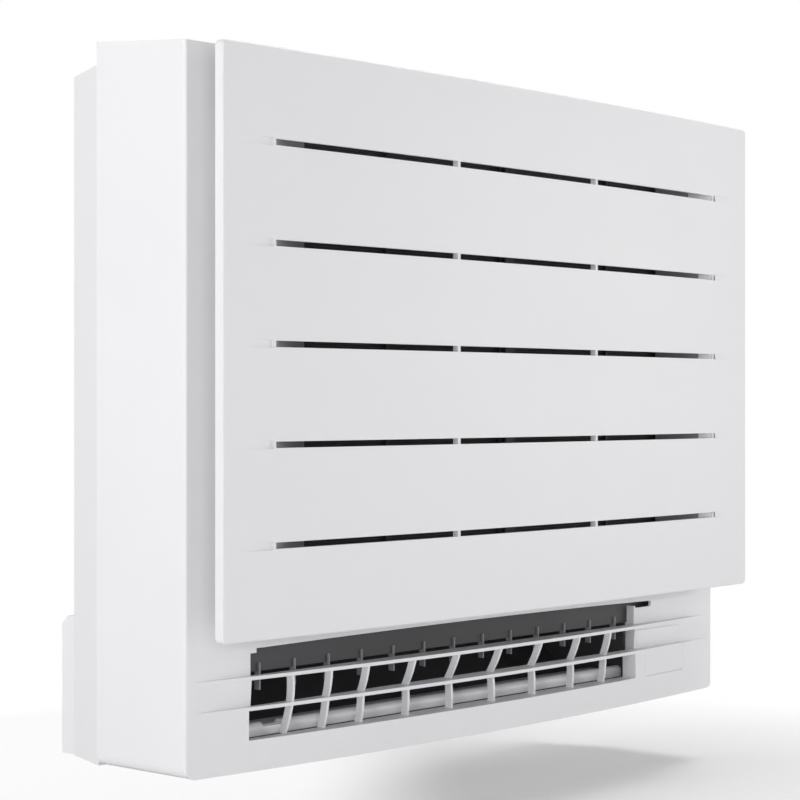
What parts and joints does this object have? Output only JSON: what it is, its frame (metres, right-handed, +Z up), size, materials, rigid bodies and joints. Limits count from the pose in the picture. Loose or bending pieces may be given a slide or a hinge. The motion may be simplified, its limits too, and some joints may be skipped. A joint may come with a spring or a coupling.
{
  "type": "floor console air conditioner",
  "caption": "White floor console air conditioner with a bowed slotted front panel, grilled lower outlet, flapped upper outlet and a wall foot.",
  "frame": {"origin": "middle of the bounding box at the underside of the base", "axes": "+X to the right seen from the front, +Y back towards the wall, +Z up; the front faces -Y"},
  "size_m": [0.75, 0.238, 0.6],
  "materials": {
    "white_plastic": "satin",
    "dark_duct": "matte",
    "duct_grey": "matte",
    "foam": "matte",
    "filter_frame": "matte",
    "filter_mesh": "matte",
    "fin_aluminium": "satin",
    "copper": "satin",
    "nut_brass": "satin",
    "zinc_sheet": "satin",
    "steel": "satin",
    "fan_plastic": "satin",
    "motor_black": "satin",
    "pan_plastic": "satin",
    "board_green": "satin",
    "terminal_black": "satin",
    "step_motor": "satin"
  },
  "bodies": {
    "chassis": {"front_casing": "white_plastic", "rear_housing": "white_plastic", "outlet_grille": "white_plastic", "receiver_cover": "white_plastic", "lower_duct": "dark_duct", "bell_mouth": "dark_duct", "upper_duct": "duct_grey", "outlet_fins": "duct_grey", "scroll_guide_left": "foam", "scroll_guide_right": "foam", "intake_frame": "filter_frame", "coil_fins": "fin_aluminium", "coil_tubes": "copper", "gas_pipe": "copper", "liquid_pipe": "copper", "flare_nuts": "nut_brass", "coil_end_plates": "zinc_sheet", "mounting_plate": "zinc_sheet", "control_box": "zinc_sheet", "control_cover": "zinc_sheet", "motor_mount": "zinc_sheet", "fan_motor": "motor_black", "drain_pan": "pan_plastic", "drain_socket": "pan_plastic", "panel_catches": "pan_plastic", "circuit_board": "board_green", "display_board": "board_green", "terminal_block": "terminal_black", "lower_flap_motor": "step_motor", "top_flap_motor": "step_motor"},
    "panel": {"front_panel": "white_plastic", "panel_pins": "steel"},
    "filter_left": {"filter_frame_left": "filter_frame", "filter_mesh_left": "filter_mesh"},
    "filter_right": {"filter_frame_right": "filter_frame", "filter_mesh_right": "filter_mesh"},
    "fan": {"fan_wheel": "fan_plastic", "motor_shaft": "steel", "shaft_nut": "steel"},
    "upper_flap": {"top_flap": "white_plastic"},
    "outlet_flap": {"lower_flap": "white_plastic"},
    "button": {"on_off_button": "white_plastic"},
    "ties_left": {"tie_bar_left": "duct_grey"},
    "ties_right": {"tie_bar_right": "duct_grey"},
    "blade_1": {"louvre_1": "duct_grey"},
    "blade_2": {"louvre_2": "duct_grey"},
    "blade_3": {"louvre_3": "duct_grey"},
    "blade_4": {"louvre_4": "duct_grey"},
    "blade_5": {"louvre_5": "duct_grey"},
    "blade_6": {"louvre_6": "duct_grey"},
    "blade_7": {"louvre_7": "duct_grey"},
    "blade_8": {"louvre_8": "duct_grey"}
  },
  "joints": [
    {"name": "panel_hinge", "type": "hinge", "parent": "chassis", "child": "panel", "pos_m": [0, -0.076, 0.122], "axis": [1, 0, 0], "range_deg": [0, 50]},
    {"name": "filter_left_slide", "type": "slide", "parent": "chassis", "child": "filter_left", "axis": [0, 0, 1], "range_m": [0, 0.42]},
    {"name": "filter_right_slide", "type": "slide", "parent": "chassis", "child": "filter_right", "axis": [0, 0, 1], "range_m": [0, 0.42]},
    {"name": "fan_spin", "type": "hinge", "parent": "chassis", "child": "fan", "pos_m": [-0.0355, 0.041, 0.332], "axis": [0, 1, 0], "continuous": true},
    {"name": "top_flap_hinge", "type": "hinge", "parent": "chassis", "child": "upper_flap", "pos_m": [0, 0.03, 0.59371], "axis": [-1, 0, 0], "range_deg": [0, 70]},
    {"name": "lower_flap_hinge", "type": "hinge", "parent": "chassis", "child": "outlet_flap", "pos_m": [0, -0.047, 0.0295], "axis": [1, 0, 0], "range_deg": [0, 80]},
    {"name": "button_press", "type": "slide", "parent": "chassis", "child": "button", "axis": [0, 1, 0], "range_m": [0, 0.0015], "stiffness_N_per_m": 600, "springref_m": -0.001},
    {"name": "louvre_1_hinge", "type": "hinge", "parent": "chassis", "child": "blade_1", "pos_m": [-0.25625, -0.0025, 0.574], "axis": [0, 1, 0], "range_deg": [-25, 25]},
    {"name": "louvre_2_hinge", "type": "hinge", "parent": "chassis", "child": "blade_2", "pos_m": [-0.18875, -0.0025, 0.574], "axis": [0, 1, 0], "range_deg": [-25, 25]},
    {"name": "louvre_3_hinge", "type": "hinge", "parent": "chassis", "child": "blade_3", "pos_m": [-0.12125, -0.0025, 0.574], "axis": [0, 1, 0], "range_deg": [-25, 25]},
    {"name": "louvre_4_hinge", "type": "hinge", "parent": "chassis", "child": "blade_4", "pos_m": [-0.05375, -0.0025, 0.574], "axis": [0, 1, 0], "range_deg": [-25, 25]},
    {"name": "tie_bar_left_slide", "type": "slide", "parent": "chassis", "child": "ties_left", "axis": [1, 0, 0], "range_m": [-0.0112, 0.0112]},
    {"name": "louvre_5_hinge", "type": "hinge", "parent": "chassis", "child": "blade_5", "pos_m": [0.01375, -0.0025, 0.574], "axis": [0, 1, 0], "range_deg": [-25, 25]},
    {"name": "louvre_6_hinge", "type": "hinge", "parent": "chassis", "child": "blade_6", "pos_m": [0.08125, -0.0025, 0.574], "axis": [0, 1, 0], "range_deg": [-25, 25]},
    {"name": "louvre_7_hinge", "type": "hinge", "parent": "chassis", "child": "blade_7", "pos_m": [0.14875, -0.0025, 0.574], "axis": [0, 1, 0], "range_deg": [-25, 25]},
    {"name": "louvre_8_hinge", "type": "hinge", "parent": "chassis", "child": "blade_8", "pos_m": [0.21625, -0.0025, 0.574], "axis": [0, 1, 0], "range_deg": [-25, 25]},
    {"name": "tie_bar_right_slide", "type": "slide", "parent": "chassis", "child": "ties_right", "axis": [1, 0, 0], "range_m": [-0.0112, 0.0112]}
  ],
  "couplings": [
    {"joint": "louvre_2_hinge", "follows": "louvre_1_hinge", "ratio": 1},
    {"joint": "louvre_3_hinge", "follows": "louvre_1_hinge", "ratio": 1},
    {"joint": "louvre_4_hinge", "follows": "louvre_1_hinge", "ratio": 1},
    {"joint": "tie_bar_left_slide", "follows": "louvre_1_hinge", "m_per_rad": -0.025},
    {"joint": "louvre_6_hinge", "follows": "louvre_5_hinge", "ratio": 1},
    {"joint": "louvre_7_hinge", "follows": "louvre_5_hinge", "ratio": 1},
    {"joint": "louvre_8_hinge", "follows": "louvre_5_hinge", "ratio": 1},
    {"joint": "tie_bar_right_slide", "follows": "louvre_5_hinge", "m_per_rad": -0.025}
  ]
}
